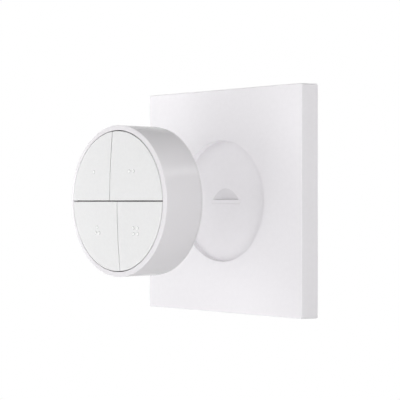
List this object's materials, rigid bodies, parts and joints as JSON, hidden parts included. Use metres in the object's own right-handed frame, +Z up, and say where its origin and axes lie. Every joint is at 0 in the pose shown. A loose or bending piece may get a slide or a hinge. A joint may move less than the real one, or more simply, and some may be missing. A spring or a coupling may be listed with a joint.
{
  "type": "wireless remote wall switch",
  "caption": "Round wireless wall switch with staggered quarter buttons inside a turning dial ring, lifted straight off its square wall plate with the shallow recess that it docks in.",
  "frame": {"origin": "centre of the wall plate's back face, on the wall", "axes": "+Z up, +Y into the wall, so the buttons face -Y; +X to the right of someone who looks at the buttons"},
  "size_m": [0.0804, 0.0576, 0.0804],
  "materials": {
    "plate_white": "fine satin moulded surface, slightly lavender white",
    "button_white": "matt moulded surface with a very fine grain",
    "dial_white": "smooth satin moulded surface",
    "shell_white": "satin moulded surface",
    "bracket_grey": "matt moulded surface",
    "pad_foam": "closed foam with adhesive",
    "keeper_steel": "zinc plated sheet steel",
    "magnet_nickel": "nickel plated",
    "screw_steel": "zinc plated",
    "board_green": "solder mask on glass fibre laminate",
    "chip_black": "moulded epoxy",
    "can_metal": "drawn sheet metal",
    "ceramic": "fired ceramic with tinned ends",
    "stem_black": "moulded plastic",
    "holder_black": "moulded plastic",
    "contact_metal": "sprung copper alloy",
    "cell_steel": "polished can",
    "code_ring_dark": "bonded magnet compound",
    "glide_cream": "slippery natural plastic"
  },
  "bodies": {
    "wall_mount": {"wall_plate": "plate_white", "wall_bracket": "bracket_grey", "keeper_ring": "keeper_steel", "adhesive_pads": "pad_foam"},
    "remote": {"base_shell": "shell_white", "rear_cover": "shell_white", "dock_magnets": "magnet_nickel", "cover_screws": "screw_steel", "case_screws": "screw_steel", "glide_ring": "glide_cream", "button_frame": "holder_black", "circuit_board": "board_green", "controller_chip": "chip_black", "radio_module": "can_metal", "crystal_can": "can_metal", "chip_antenna": "ceramic", "capacitors": "ceramic", "dial_sensors": "chip_black", "switch_bodies": "can_metal", "battery_holder": "holder_black", "contact_negative": "contact_metal", "contact_positive": "contact_metal", "coin_cell": "cell_steel"},
    "dial": {"dial_ring": "dial_white", "code_ring": "code_ring_dark"},
    "button_one": {"button_one": "button_white", "switch_stem_one": "stem_black"},
    "button_two": {"button_two": "button_white", "switch_stem_two": "stem_black"},
    "button_three": {"button_three": "button_white", "switch_stem_three": "stem_black"},
    "button_four": {"button_four": "button_white", "switch_stem_four": "stem_black"}
  },
  "joints": [
    {"name": "remote_dock", "type": "slide", "parent": "wall_mount", "child": "remote", "axis": [0, 1, 0], "range_m": [0, 0.0312]},
    {"name": "dial_turn", "type": "hinge", "parent": "remote", "child": "dial", "pos_m": [0, -0.048, 0], "axis": [0, 1, 0], "continuous": true},
    {"name": "button_one_press", "type": "slide", "parent": "remote", "child": "button_one", "axis": [0, 1, 0], "range_m": [0, 0.0005], "stiffness_N_per_m": 800, "springref_m": -0.001},
    {"name": "button_two_press", "type": "slide", "parent": "remote", "child": "button_two", "axis": [0, 1, 0], "range_m": [0, 0.0005], "stiffness_N_per_m": 800, "springref_m": -0.001},
    {"name": "button_three_press", "type": "slide", "parent": "remote", "child": "button_three", "axis": [0, 1, 0], "range_m": [0, 0.0005], "stiffness_N_per_m": 800, "springref_m": -0.001},
    {"name": "button_four_press", "type": "slide", "parent": "remote", "child": "button_four", "axis": [0, 1, 0], "range_m": [0, 0.0005], "stiffness_N_per_m": 800, "springref_m": -0.001}
  ]
}
